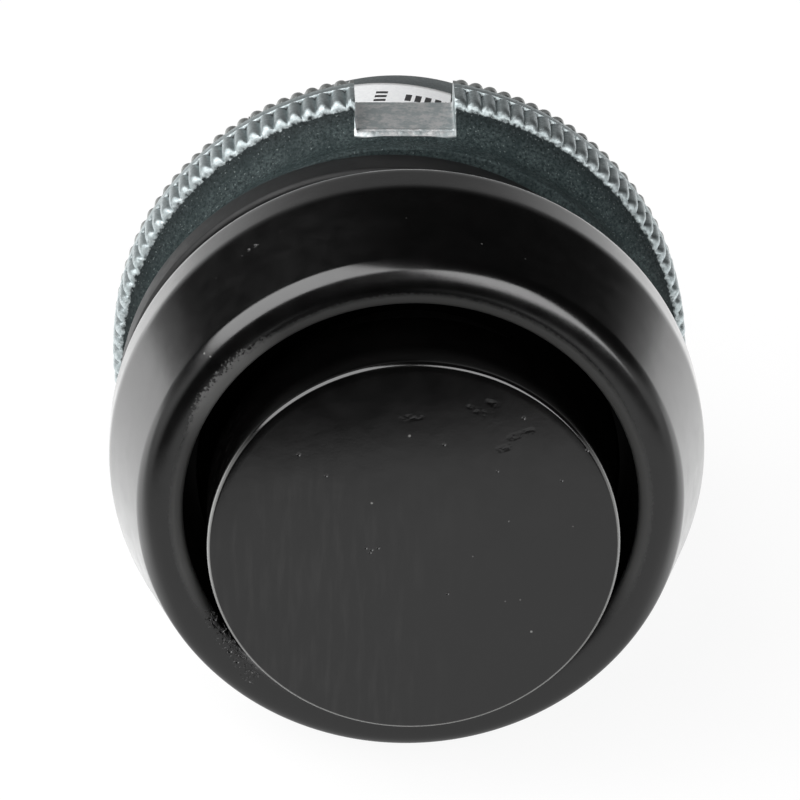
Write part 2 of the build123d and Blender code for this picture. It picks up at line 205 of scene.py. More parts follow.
# Label, and the groups of bars on it where the print would be
LABEL_SIZE = (15.0, 9.3)
LABEL_CENTRE = (1.2, 17.75)
LABEL_SKEW = 9.0
LABEL_THICKNESS = 0.12
LABEL_CLEARANCE = 0.02
LABEL_GRID = (40, 20)
ACROSS_BARS = {"first": 6.5, "step": 0.74, "width": 0.46, "count": 6, "low": 6.2, "high": 7.4}
ALONG_BARS = {"first": 5.25, "step": 0.7, "width": 0.4, "count": 4, "low": 4.2, "high": 5.1}

# Return spring
SPRING_FRONT = spring_low[1]
SPRING_REAR = spring_high[1]
SPRING_WIRE = 0.65
SPRING_RADIUS = spring_high[0] - SPRING_WIRE
SPRING_TURNS = 5.0
SPRING_POINTS = 321
SPRING_SIDES = 12

# Edges of the pieces that stay as the CAD made them
WELD_REACH = 0.002
EDGE_ANGLE = math.radians(40)

# Black mouldings. The photograph is bright, so their gloss is high.
GLOSS_IOR = 1.8
SPECULAR = 0.5
BLACK = ((0.0006, 0.0006, 0.0006), (0.0014, 0.0013, 0.0013))
BEZEL_ROUGHNESS = (0.18, 0.23)
BUTTON_ROUGHNESS = (0.13, 0.17)
DUST = (0.16, 0.16, 0.155)
DENT_DEPTH = 0.09
DENT_SOFT = 0.09
DENT_SHARE = 0.7
SPECK_SOFT = 0.05

# The middle range of a noise, where most of it lies
MIDDLE = (0.3, 0.7)

# Waves and grain of a black skin, as size and depth
SKIN_WAVES = (2.2, 0.006)
SKIN_GRAIN = (0.18, 0.0012)

# Reach and soft edge of the scratches, the scuffs and the pitted line
SCRATCH_EDGE = (0.01, 0.06)
SCUFF_EDGE = (0.02, 0.3)
PITTED_EDGE = (0.25, 0.5)

# Bezel: a pale band round the hole, a painted reflection of the lip, by radius, height and place, each from
# none to full, one patch where it is ragged, a pitted line, and the recess where no light gets in
LIP_REFLECTION_RADII = (17.05, 16.65)
LIP_REFLECTION_HEIGHTS = (-9.0, -5.0)
LIP_REFLECTION_PLACES = (-16.95, -17.1)
LIP_REFLECTION = ((0.05, 0.05, 0.049), (0.12, 0.12, 0.118))
LIP_REFLECTION_ROUGHNESS = 0.45
LIP_REFLECTION_RAGGED = 0.3
PATCH_SPOT = (-13.2, -17.5, 10.3)
PATCH_REACH = 2.0
PATCH_SOFT = 3.5
PATCH_RAGGED = 1.6
PATCH_GROWTH = 0.35
PITTED_LINE = ((-13.9, -17.4, -8.4), (-11.2, -17.5, -13.2))
RECESS_PLACES = (-17.1, -16.9)
RECESS_RADII = (16.3, 16.1)
RECESS_SPECULAR = 0.02

# Spots on the bezel with their reach, and the ends of its scratches
BEZEL_PITS = [
    ((-13.69, -17.6, -8.71), 0.10), ((-13.2, -17.6, -9.6), 0.14), ((-12.62, -17.65, -11.13), 0.16),
    ((-12.1, -17.65, -12.0), 0.12), ((-11.2, -17.65, -13.56), 0.14), ((-10.96, -11.41, 17.54), 0.12),
    ((-11.4, -11.46, 17.25), 0.08), ((13.01, -17.43, -13.47), 0.15),
]
BEZEL_SPECKS = [
    ((-11.06, -17.65, -12.91), 0.07), ((-14.49, -17.29, 12.12), 0.05), ((-14.08, -17.56, 12.02), 0.04),
    ((-11.86, -11.63, 16.87), 0.02), ((-11.37, -11.46, 17.1), 0.04), ((-10.75, -11.45, 17.65), 0.03),
    ((-13.66, -11.95, 15.33), 0.01), ((4.62, -14.64, 19.26), 0.02), ((-0.55, -12.74, 20.31), 0.005),
    ((12.55, -11.96, 16.24), 0.01), ((14.23, -12.25, 14.69), 0.01), ((12.92, -13.85, 15.29), 0.005),
    ((7.64, -14.82, 18.21), 0.005),
]
BEZEL_SCRATCHES = [
    ((-9.23, -11.27, 18.55), (-7.22, -11.56, 19.33)),
    ((-15.06, -8.09, 14.99), (-13.73, -7.73, 16.22)),
    ((-13.73, -7.73, 16.22), (-12.4, -6.96, 17.26)),
]

# Button: a pale rim on the edge's round as painted highlight, a drawn film on one side, and a dull wall
RIM_RADII = (14.08, 14.14)
RIM_HEIGHTS = (9.0, 3.0)
RIM_PAINTED_HIGHLIGHT = (0.2, 0.2, 0.195)
WALL_PLACES = (BUTTON_FRONT + 0.25, BUTTON_FRONT + 0.5)
WALL_SPECULAR = 0.05
FILM = (0.008, 0.0078, 0.0076)
FILM_STRETCH = (1.0, 1.0, 0.13)
FILM_SIDE = (6.0, -4.0)
FILM_HEIGHTS = (9.0, 4.0)

# Spots on the button's face by X, Z and reach, and its scuffs by X and Z of both ends
DISC_PITS = [
    (-2.91, -0.01, 0.10), (-3.3, 0.1, 0.07), (-2.46, 0.1, 0.07), (-3.0, -0.25, 0.06), (7.33, 10.16, 0.10),
    (1.94, 8.13, 0.07), (-6.12, 5.73, 0.08), (-8.02, 7.35, 0.10), (5.65, 6.09, 0.06),
    (10.08, 5.37, 0.06), (11.76, 7.68, 0.08), (2.42, -3.49, 0.06),
]
DISC_SPECKS = [
    (-0.47, 8.77, 0.07), (-2.96, 3.57, 0.06), (6.51, 2.15, 0.02), (4.09, -0.59, 0.01), (10.95, 1.76, 0.01),
    (8.31, -6.54, 0.06), (6.43, -4.13, 0.01), (7.47, -4.01, 0.015),
]
DISC_SCUFFS = [
    (3.65, 10.92, 4.69, 10.5), (6.45, 8.63, 7.87, 9.17), (5.72, 7.71, 6.46, 7.98),
    (-0.94, 10.04, 0.42, 10.3), (4.91, 11.38, 5.43, 11.15),
]

# Zinc: bare metal, the trimmed notch floor, and the dark skin that the die leaves, each dark to light
BARE = ((0.32, 0.37, 0.38), (0.62, 0.67, 0.68))
BARE_CLOUD = (0.42, 0.48, 0.48)
# A darker, browner tone on the rear ridges, and painted shade in the pockets in front of the parting band
BARE_REAR_RIDGES = (0.36, 0.35, 0.33)
BARE_POCKET_SHADE = (0.06, 0.06, 0.06)
BARE_CUP = (0.20, 0.225, 0.23)
TRIMMED = ((0.68, 0.74, 0.75), (1.0, 1.0, 1.0))
TRIMMED_REAR = (0.50, 0.56, 0.57)
SKIN = ((0.008, 0.014, 0.015), (0.062, 0.083, 0.084))
SKIN_CLOUD = (0.016, 0.026, 0.027)
# Painted shade on the skin near the ridges, and painted glints on it
SKIN_PAINTED_SHADE = (0.005, 0.007, 0.008)
SKIN_PAINTED_GLINT = (0.30, 0.34, 0.34)
# Painted shade: black on the neck's front end, deep in the bezel's gap
GAP_PAINTED_SHADE = (0.002, 0.002, 0.002)
BARE_ROUGHNESS = (0.54, 0.42)
SKIN_ROUGHNESS = (0.7, 0.6)
BURR_ROUGHNESS = 0.62
SKIN_SPECULAR = 0.2
SKIN_METALLIC = 0.1
ZINC_GRAIN = 0.22
ZINC_CLOUD = 1.8
ZINC_MOTTLE = 0.8
PAINTED_GLINT_GRAIN = 0.14
ZINC_DEPTH = 0.02

# Label paper
PAPER = ((0.84, 0.85, 0.86), (0.92, 0.93, 0.93))
INK = (0.03, 0.03, 0.032)
PAPER_ROUGHNESS = 0.55
PAPER_FIBRE = 0.25
PAPER_DEPTH = 0.004

# Table, on which the bezel lies
TABLE_HEIGHT = -BEZEL_RADIUS
TABLE_EDGE = [(-40.0, -70.0), (40.0, -92.0)]
TABLE_REACH = 2500.0

# Table in reflections: painted light at the sides and behind, where the limits run from none to full
LIT_ASIDE = (24.0, 42.0)
LIT_ALONG = (-50.0, -18.0)
LIT_BEHIND = (-10.0, 10.0)
TABLE_GLOW = (0.42, 1.0)
TABLE_PLAIN = (0.12, 0.7)
TABLE_SEEN = 0.91
TABLE_WHITE = 0.8

# Room in reflections. Heights and turns are shares: 0.5 is level with the object or beside it.
ROOM_REAR = (0.9, 0.22)
ROOM_REAR_HEIGHTS = (0.54, 0.67)
ROOM_CEILING = 0.025
ROOM_CEILING_HEIGHTS = (0.71, 0.86)
ROOM_FRONT = (0.009, 0.015)
ROOM_FRONT_HEIGHTS = (0.45, 0.55)
ROOM_TURNS = (0.82, 0.93)
HAZE = 0.9
HAZE_SHARE = 0.7
HAZE_SIDES = (0.45, 0.8)
HAZE_HEIGHTS = (0.5, 0.6)
ROOM_DIFFUSE = 0.08

# Lamps: azimuth, elevation and roll in degrees, distance and size in metres, brightness where 1 is white
LAMPS = {
    "left_lamp": (-61, 46, -20, 0.8, (1.30, 0.82), 3.1),
    "right_lamp": (22, 19, 0, 0.8, (0.46, 0.62), 3.4),
}

# Camera
CAMERA_TARGET = (0.0, -6.0, 0.0)
CAMERA_DISTANCE = 400.0
CAMERA_AZIMUTH = -1.83
CAMERA_ELEVATION = 26.72
CAMERA_ROLL = 1.0
CAMERA_LENS = 250.5
CAMERA_SENSOR = 36.0
CAMERA_CLIP = 0.01
CAMERA_OFFSET = (-0.41, 2.56)


def run(start, end, count):
    """Points of a straight run of a profile, after its start."""
    share = np.linspace(0, 1, count + 1)[1:, None]
    return np.array(start) * (1 - share) + np.array(end) * share


def path(start, *stops):
    """Points of straight runs from corner to corner, after the start. A stop is a corner and a count."""
    runs = []
    for corner, count in stops:
        runs.append(run(start, corner, count))
        start = corner
    return np.concatenate(runs)


def bend(centre, radius, first, last, count):
    """Points of a round of a profile. Directions are in degrees: 0 is outward and 90 is forward."""
    angle = np.radians(np.linspace(first, last, count + 1))
    return np.stack([centre[0] + radius * np.cos(angle), centre[1] - radius * np.sin(angle)], 1)


def on_round(centre, radius, direction):
    """One point of a round."""
    return tuple(bend(centre, radius, direction, direction, 0)[0])


def circle(columns):
    """Angles once round the axis."""
    return np.linspace(0, FULL_TURN, columns, endpoint=False)


def bell(value, middle, width):
    """1 at the middle, falling off to both sides."""
    return math.exp(-((value - middle) / width) ** 2)


def turned(radius, along, angles):
    """Points round the axis from radii, places along it and angles from +Z towards +X."""
    shape = np.broadcast_shapes(np.shape(radius), np.shape(along), np.shape(angles))
    radius, along, angles = (np.broadcast_to(v, shape) for v in (radius, along, angles))
    return np.stack([radius * np.sin(angles), along, radius * np.cos(angles)], -1)


def grid_faces(rows, columns, first=0, close_rows=False):
    """Quads of a grid whose columns run round and meet."""
    i = np.arange(rows if close_rows else rows - 1)[:, None]
    j = np.arange(columns)[None, :]
    after = (j + 1) % columns
    below = (i + 1) % rows
    quads = np.stack(np.broadcast_arrays(
        i * columns + j, i * columns + after, below * columns + after, below * columns + j), -1)
    return (quads.reshape(-1, 4) + first).tolist()


def add_object(name, data):
    """A new object in the scene."""
    made = bpy.data.objects.new(name, data)
    scene.collection.objects.link(made)
    return made


def mesh_piece(name, points, faces, material, sharp=SHARP):
    """A mesh object from points in millimetres, smooth but for its sharp edges."""
    mesh = bpy.data.meshes.new(name)
    mesh.from_pydata((np.asarray(points).reshape(-1, 3) * MM).tolist(), [], faces)
    mesh.shade_smooth()
    mesh.set_sharp_from_angle(angle=math.radians(sharp))
    mesh.materials.append(material)
    return add_object(name, mesh)


def lathe(name, profile, columns, material, close=True, cap=False, offset=(0.0, 0.0)):
    """A turned piece from the stretches of a profile of radius and place along the axis."""
    profile = np.concatenate(profile)
    points = turned(profile[:, :1], profile[:, 1:], circle(columns)[None, :])
    points = points + np.array([offset[0], 0.0, offset[1]])
    faces = grid_faces(len(profile), columns, close_rows=close)
    if cap:
        faces.append(list(range(columns))[::-1])
    return mesh_piece(name, points, faces, material)


def dress(piece, body, slot, *replaced):
    """A new piece rides on its body and stands for CAD nodes. The slot is not used."""
    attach(piece, body)
    if replaced:
        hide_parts(*replaced)
    return piece


def rgba(colour):
    """A colour with its alpha, from a grey or from red, green and blue."""
    return (colour,) * 3 + (1.0,) if isinstance(colour, float) else tuple(colour) + (1.0,)


def add_node(tree, kind, inputs=None, **settings):
    """A shader node with its settings, and its inputs linked or set."""
    node = tree.nodes.new(kind)
    for key, value in settings.items():
        setattr(node, key, value)
    for key, value in (inputs or {}).items():
        socket = node.inputs[key]
        if isinstance(value, bpy.types.NodeSocket):
            tree.links.new(value, socket)
        else:
            socket.default_value = rgba(value) if socket.type == "RGBA" else value
    return node


def new_material(name, **settings):
    """A material with its shader's plain settings, its tree and its shader."""
    material = bpy.data.materials.new(name)
    material.use_nodes = True
    tree = material.node_tree
    shader = tree.nodes["Principled BSDF"]
    for key, value in settings.items():
        shader.inputs[key].default_value = value
    return material, tree, shader


def link(tree, shader, **outputs):
    """Outputs linked to the inputs of a shader, whose names have underscores for spaces here."""
    for key, output in outputs.items():
        tree.links.new(output, shader.inputs[key.replace("_", " ")])


def place(tree, kind="Object"):
    """The point on the object, by default in its own frame."""
    return add_node(tree, "ShaderNodeTexCoord").outputs[kind]


def parts_of(tree, vector):
    """The X, Y and Z of a vector."""
    node = add_node(tree, "ShaderNodeSeparateXYZ", {"Vector": vector})
    return [node.outputs[key] for key in "XYZ"]


def noise(tree, vector, grain, detail=3.0, roughness=0.55):
    """Noise whose grain is a size in millimetres."""
    node = add_node(tree, "ShaderNodeTexNoise", {
        "Vector": vector, "Scale": 1 / (grain * MM), "Detail": detail, "Roughness": roughness})
    return node.outputs["Fac"]


def ramp(tree, value, low, high, start=0.0, end=1.0):
    """A value or colour that runs from one end to another over a range of the input."""
    node = add_node(tree, "ShaderNodeValToRGB", {"Fac": value})
    for element, at, colour in zip(node.color_ramp.elements, (start, end), (low, high)):
        element.position = at
        element.color = rgba(colour)
    return node.outputs["Color"]


def bump(tree, height, depth, normal=None):
    """A bump whose full height is a size in millimetres."""
    inputs = {"Height": height, "Strength": 1.0, "Distance": depth * MM}
    if normal is not None:
        inputs["Normal"] = normal
    return add_node(tree, "ShaderNodeBump", inputs).outputs["Normal"]


def math_node(tree, operation, *values):
    """A sum, product or the like of values."""
    return add_node(tree, "ShaderNodeMath", dict(enumerate(values)), operation=operation).outputs["Value"]


def vector_node(tree, operation, *values):
    """The node of a sum, product or the like of vectors."""
    return add_node(tree, "ShaderNodeVectorMath", dict(enumerate(values)), operation=operation)


def product(tree, first, *others):
    """Values multiplied together."""
    for other in others:
        first = math_node(tree, "MULTIPLY", first, other)
    return first


def rest_of(tree, share):
    """What a share leaves of 1."""
    return math_node(tree, "SUBTRACT", 1.0, share)


def any_of(tree, shares):
    """The largest of several shares."""
    largest = 0.0
    for share in shares:
        largest = math_node(tree, "MAXIMUM", largest, share)
    return largest


def mix_colour(tree, share, a, b):
    """Two colours mixed by a share. The mix node's colours are its inputs 6 and 7 and its output 2."""
    return add_node(tree, "ShaderNodeMix", {0: share, 6: a, 7: b}, data_type="RGBA").outputs[2]


def within(tree, value, low, high):
    """1 where a value lies between two limits."""
    return product(
        tree, math_node(tree, "GREATER_THAN", value, low), math_node(tree, "LESS_THAN", value, high))


def fade(tree, value, none, full):
    """A share that goes from 0 to 1 between two values in millimetres."""
    node = add_node(tree, "ShaderNodeMapRange", {
        "Value": value, "From Min": none * MM, "From Max": full * MM})
    return node.outputs["Result"]


def distance_out(tree, at):
    """How far a point is from the switch's axis."""
    flat = vector_node(tree, "MULTIPLY", at, (1.0, 0.0, 1.0)).outputs["Vector"]
    return vector_node(tree, "LENGTH", flat).outputs["Value"]


def near(tree, at, spot, reach, soft):
    """1 within reach of a spot, in millimetres, falling to 0 over the soft edge."""
    distance = vector_node(tree, "DISTANCE", at, Vector(spot) * MM).outputs["Value"]
    return fade(tree, distance, reach + soft, reach)


def near_line(tree, at, start, end, reach, soft):
    """1 within reach of a straight line, in millimetres, falling to 0 over the soft edge."""
    start, end = Vector(start) * MM, Vector(end) * MM
    way = end - start
    back = vector_node(tree, "SUBTRACT", at, start).outputs["Vector"]
    share = vector_node(tree, "DOT_PRODUCT", back, way / way.length_squared).outputs["Value"]
    share = math_node(tree, "MINIMUM", math_node(tree, "MAXIMUM", share, 0.0), 1.0)
    foot = add_node(tree, "ShaderNodeVectorMath", {0: way, "Scale": share}, operation="SCALE")
    distance = vector_node(tree, "DISTANCE", back, foot.outputs["Vector"]).outputs["Value"]
    return fade(tree, distance, reach + soft, reach)


def black_skin(name, roughness):
    """A plain glossy black moulding: its material, tree and shader, then its place, colour and roughness."""
    material, tree, shader = new_material(name, IOR=GLOSS_IOR)
    at = place(tree)
    colour = ramp(tree, noise(tree, at, 3.0), *BLACK, *MIDDLE)
    rough = ramp(tree, noise(tree, at, 1.6), *roughness, *MIDDLE)
    return material, tree, shader, at, colour, rough


def pits(tree, at, spots):
    """Small dents at spots."""
    return [near(tree, at, spot, reach * DENT_SHARE, DENT_SOFT) for spot, reach in spots]


def specks(tree, at, spots):
    """Specks of dust at spots."""
    return [near(tree, at, spot, reach, SPECK_SOFT) for spot, reach in spots]


def finish_black(tree, shader, at, colour, rough, dust, dents):
    """Dust and dents over a black skin that isn't quite even."""
    colour = mix_colour(tree, any_of(tree, dust), colour, DUST)
    normal = None
    for grain, depth in (SKIN_WAVES, SKIN_GRAIN):
        normal = bump(tree, noise(tree, at, grain, 2.0), depth, normal)
    normal = bump(tree, rest_of(tree, any_of(tree, dents)), DENT_DEPTH, normal)
    link(tree, shader, Base_Color=colour, Roughness=rough, Normal=normal)


def lip_painted_reflection(tree, at, patch):
    """1 on the pale band round the bezel's hole, a painted reflection of the lip, with a ragged outer side
    that is pitted at one patch.
    """
    _, along, height = parts_of(tree, at)
    spread = math_node(tree, "MULTIPLY_ADD", patch, PATCH_RAGGED * MM, LIP_REFLECTION_RAGGED * MM)
    ragged = product(tree, math_node(tree, "SUBTRACT", noise(tree, at, 0.22, 3.0), 0.5), spread)
    ragged = math_node(tree, "SUBTRACT", ragged, product(tree, patch, PATCH_GROWTH * MM))
    reflection_band = fade(tree, math_node(tree, "ADD", distance_out(tree, at), ragged), *LIP_REFLECTION_RADII)
    return product(tree, reflection_band, fade(tree, height, *LIP_REFLECTION_HEIGHTS), fade(tree, along, *LIP_REFLECTION_PLACES))


def bezel_moulding():
    """The bezel's black, with a pale band round the hole that paints the lip's reflection, its pitted line
    and its dark recess.
    """
    material, tree, shader, at, colour, rough = black_skin("bezel_black", BEZEL_ROUGHNESS)
    patch = near(tree, at, PATCH_SPOT, PATCH_REACH, PATCH_SOFT)
    # Painted reflection: a pale band round the hole's edge stands in for the lip's highlight
    lip_reflection = lip_painted_reflection(tree, at, patch)
    colour = mix_colour(tree, lip_reflection, colour, mix_colour(tree, patch, *LIP_REFLECTION))
    rough = mix_colour(tree, lip_reflection, rough, LIP_REFLECTION_ROUGHNESS)
    deep = fade(tree, parts_of(tree, at)[1], *RECESS_PLACES)
    recess = product(tree, deep, fade(tree, distance_out(tree, at), *RECESS_RADII))
    link(tree, shader, Specular_IOR_Level=ramp(tree, recess, SPECULAR, RECESS_SPECULAR))
    broken = ramp(tree, noise(tree, at, 0.4), 0.0, 0.4, 0.4, 0.7)
    scratches = [product(tree, near_line(tree, at, *ends, *SCRATCH_EDGE), broken) for ends in BEZEL_SCRATCHES]
    eaten = ramp(tree, noise(tree, at, 0.3, 2.0), 0.0, 0.7, 0.54, 0.62)
    pitted = product(tree, eaten, near_line(tree, at, *PITTED_LINE, *PITTED_EDGE))
    dust = specks(tree, at, BEZEL_SPECKS) + scratches
    dents = pits(tree, at, BEZEL_PITS) + [pitted]
    finish_black(tree, shader, at, colour, rough, dust, dents)
    return material


def on_disc(spots):
    """Spots on the button's face, with their reach."""
    return [((x, BUTTON_FRONT, z), reach) for x, z, reach in spots]


def button_moulding():
    """The button's black, with a pale rim on its edge as painted highlight, the film on its face, its scuffs
    and its dull wall.
    """
    material, tree, shader, at, colour, rough = black_skin("button_black", BUTTON_ROUGHNESS)
    across, along, height = parts_of(tree, at)
    wall = fade(tree, along, *WALL_PLACES)
    link(tree, shader, Specular_IOR_Level=ramp(tree, wall, SPECULAR, WALL_SPECULAR))
    drawn = vector_node(tree, "MULTIPLY", at, FILM_STRETCH).outputs["Vector"]
    film = ramp(tree, noise(tree, drawn, 0.55, 2.0), 0.0, 1.0, 0.48, 0.75)
    film = product(tree, film, fade(tree, across, *FILM_SIDE), fade(tree, height, *FILM_HEIGHTS))
    colour = mix_colour(tree, film, colour, FILM)
    # Painted highlight: a pale rim on the lower part of the edge's round
    rim_highlight = product(
        tree, fade(tree, distance_out(tree, at), *RIM_RADII), fade(tree, height, *RIM_HEIGHTS),
        rest_of(tree, wall))
    colour = mix_colour(tree, rim_highlight, colour, RIM_PAINTED_HIGHLIGHT)
    torn = ramp(tree, noise(tree, at, 0.5), 0.0, 0.09, 0.4, 0.65)
    dents = pits(tree, at, on_disc(DISC_PITS))
    for x0, z0, x1, z1 in DISC_SCUFFS:
        stroke = near_line(tree, at, (x0, BUTTON_FRONT, z0), (x1, BUTTON_FRONT, z1), *SCUFF_EDGE)
        dents.append(product(tree, stroke, torn))
    finish_black(tree, shader, at, colour, rough, specks(tree, at, on_disc(DISC_SPECKS)), dents)
    return material


def bare_zinc(tree, along, out, grain, cloud):
    """Bare cast metal: darker and browner on the ridges behind the parting band, painted shade in the pockets
    in front of it, and darker on the cup.
    """
    colour = mix_colour(tree, ramp(tree, grain, 0.0, 1.0, 0.3, 0.75), *BARE)
    colour = mix_colour(tree, ramp(tree, cloud, 0.0, 0.4, 0.4, 0.7), colour, BARE_CLOUD)
    # Darker and browner on the ridges behind the parting band
    rear_ridge_tone = product(
        tree, fade(tree, along, BAND_REAR - 0.2, BAND_REAR),
        fade(tree, out, TIP_RADIUS - 1.2, TIP_RADIUS - 0.9), 0.6)
    colour = mix_colour(tree, rear_ridge_tone, colour, BARE_REAR_RIDGES)
    # Painted shade in the valley pockets in front of the parting band
    pocket_shade = product(
        tree, fade(tree, along, BAND_FRONT - 0.35, BAND_FRONT - 0.1),
        fade(tree, along, BAND_FRONT + 0.06, BAND_FRONT + 0.02),
        fade(tree, out, TIP_RADIUS - 0.1, TIP_RADIUS - 0.25), 0.8)
    colour = mix_colour(tree, pocket_shade, colour, BARE_POCKET_SHADE)
    cup = product(tree, fade(tree, along, FLANGE_REAR - 0.1, FLANGE_REAR + 0.1), 0.75)
    return mix_colour(tree, cup, colour, BARE_CUP)


def trimmed_zinc(tree, at, along):
    """The notch's floor: mottled bright metal that darkens to the rear."""
    mottle = noise(tree, at, ZINC_MOTTLE, 5.0, 0.7)
    colour = mix_colour(tree, ramp(tree, mottle, 0.0, 1.0, 0.42, 0.58), *TRIMMED)
    rear = product(tree, fade(tree, along, CONE_REAR, BAND_REAR + 0.1), 0.2)
    return mix_colour(tree, rear, colour, TRIMMED_REAR)


def zinc_skin(tree, at, out, grain, cloud):
    """The dark grainy skin on the casting's front, with a few painted glints, and painted shade that is
    darkest near the ridges.
    """
    colour = mix_colour(tree, ramp(tree, grain, 0.0, 1.0, 0.35, 0.7), *SKIN)
    colour = mix_colour(tree, ramp(tree, cloud, 0.0, 0.6, 0.4, 0.7), colour, SKIN_CLOUD)
    # Painted shade, darker towards the ridges
    painted_shade = product(tree, fade(tree, out, COLLAR_RADIUS + 0.8, COLLAR_RADIUS + 1.6), 0.55)
    colour = mix_colour(tree, painted_shade, colour, SKIN_PAINTED_SHADE)
    # Painted glints: bright specks in the colour
    painted_glint = product(tree, ramp(tree, noise(tree, at, PAINTED_GLINT_GRAIN, 0.0), 0.0, 1.0, 0.74, 0.82), 0.4)
    return mix_colour(tree, painted_glint, colour, SKIN_PAINTED_GLINT)


def cast_zinc():
    """Die-cast zinc: a dark skin in front of the ridges, bare metal behind, and painted shade, black on the
    neck's end in the bezel.
    """
    material, tree, shader = new_material("cast_zinc_skin", Metallic=1.0)
    at = place(tree)
    across, along, height = parts_of(tree, at)
    out = distance_out(tree, at)
    grain = noise(tree, at, ZINC_GRAIN, 3.0, 0.7)
    cloud = noise(tree, at, ZINC_CLOUD)
    ragged = product(tree, math_node(tree, "SUBTRACT", noise(tree, at, 0.4), 0.5), 0.3 * MM)
    front = fade(tree, math_node(tree, "ADD", along, ragged), CONE_REAR + 0.06, CONE_REAR - 0.02)
    notch_side = (NOTCH_HALF + 0.08) * MM
    notch = product(
        tree, fade(tree, height, NOTCH_FLOOR - 0.15, NOTCH_FLOOR - 0.05),
        fade(tree, along, CONE_FRONT + 0.01, CONE_FRONT + 0.09),
        within(tree, across, -notch_side, notch_side))
    floor = product(tree, notch, fade(tree, height, NOTCH_FLOOR + 0.35, NOTCH_FLOOR + 0.25))
    cast = product(tree, front, rest_of(tree, notch))
    # Painted shade: the neck's front end in the bezel's gap turns black and loses its shine
    gap_shade = fade(tree, along, NECK_FRONT + 1.9, NECK_FRONT + 1.5)
    dull = math_node(tree, "MAXIMUM", cast, gap_shade)
    bare = bare_zinc(tree, along, out, grain, cloud)
    bare = mix_colour(tree, floor, bare, trimmed_zinc(tree, at, along))
    colour = mix_colour(tree, cast, bare, zinc_skin(tree, at, out, grain, cloud))
    colour = mix_colour(tree, gap_shade, colour, GAP_PAINTED_SHADE)
    shine = math_node(tree, "SUBTRACT", ramp(tree, cast, SPECULAR, SKIN_SPECULAR), gap_shade)
    rough = mix_colour(
        tree, dull, ramp(tree, grain, *BARE_ROUGHNESS, *MIDDLE), ramp(tree, grain, *SKIN_ROUGHNESS, *MIDDLE))
    burred = product(tree, floor, fade(tree, along, BURR_PLACE + 0.6, BURR_PLACE + 0.4))
    rough = mix_colour(tree, burred, rough, BURR_ROUGHNESS)
    normal = bump(tree, noise(tree, at, 0.6, 3.0), ZINC_DEPTH)
    normal = bump(tree, grain, ZINC_DEPTH, normal)
    link(tree, shader, Base_Color=colour, Metallic=ramp(tree, dull, 1.0, SKIN_METALLIC), Roughness=rough,
         Specular_IOR_Level=shine, Normal=normal)
    return material


def toned(name, colour, darkest, roughness, tone_grain, skin_grain, skin_depth, detail=3.0, end=MIDDLE[1],
          **settings):
    """A plain material whose colour and roughness vary together a little, over a fine grain."""
    material, tree, shader = new_material(name, **settings)
    at = place(tree)
    tone = noise(tree, at, tone_grain, detail)
    darker = tuple(v * darkest for v in colour)
    link(tree, shader, Base_Color=ramp(tree, tone, darker, colour, MIDDLE[0], end),
         Roughness=ramp(tree, tone, *roughness, *MIDDLE),
         Normal=bump(tree, noise(tree, at, skin_grain), skin_depth))
    return material


def soft_rubber(name, colour, grain):
    """Dull rubber."""
    return toned(name, colour, 0.6, (0.48, 0.6), grain, 0.15, 0.006)


def metal(name, colour, roughness):
    """Plain metal with a little tarnish and grain."""
    rough = (roughness * 1.3, roughness * 0.8)
    return toned(name, colour, 0.72, rough, 1.2, 0.3, 0.004, detail=4.0, end=0.65, Metallic=1.0)


def moulding(name, colour, roughness):
    """Plain moulded plastic."""
    rough = (roughness * 0.9, roughness * 1.15)
    return toned(name, colour, 0.75, rough, 1.2, 0.3, 0.006)


def bar_marks(tree, value, other, bars):
    """A group of bars that follow each other in one direction, between limits in the other."""
    marks = []
    for k in range(bars["count"]):
        start = bars["first"] + k * bars["step"]
        marks.append(product(
            tree, within(tree, value, start, start + bars["width"]),
            within(tree, other, bars["low"], bars["high"])))
    return marks


def label_paper():
    """White paper with two plain groups of dark bars where the print would be."""
    material, tree, shader = new_material("label_paper_print", Roughness=PAPER_ROUGHNESS)
    u, v, _ = parts_of(tree, place(tree, "UV"))
    across = product(tree, u, LABEL_SIZE[0])
    along = product(tree, v, LABEL_SIZE[1])
    fibres = noise(tree, place(tree), PAPER_FIBRE)
    colour = ramp(tree, fibres, *PAPER, *MIDDLE)
    marks = bar_marks(tree, across, along, ACROSS_BARS) + bar_marks(tree, along, across, ALONG_BARS)
    colour = mix_colour(tree, any_of(tree, marks), colour, INK)
    link(tree, shader, Base_Color=colour, Normal=bump(tree, fibres, PAPER_DEPTH))
    return material


bezel_black = bezel_moulding()
button_black = button_moulding()
zinc = cast_zinc()
gasket_rubber = soft_rubber("gasket_rubber", (0.007, 0.007, 0.0074), 1.2)
seal_rubber = soft_rubber("seal_rubber", (0.02, 0.02, 0.02), 0.8)
paper = label_paper()
acetal = moulding("grey_acetal_skin", (0.42, 0.42, 0.40), 0.4)
plunger_black = moulding("plunger_skin", (0.004, 0.004, 0.004), 0.6)
block_black = moulding("block_moulding_skin", (0.018, 0.018, 0.019), 0.42)
spring_steel = metal("spring_steel_skin", (0.58, 0.57, 0.55), 0.3)
plated_steel = metal("plated_steel_skin", (0.66, 0.66, 0.64), 0.28)
brass = metal("contact_brass_skin", (0.74, 0.55, 0.27), 0.3)
silver = metal("contact_silver_skin", (0.82, 0.81, 0.78), 0.24)


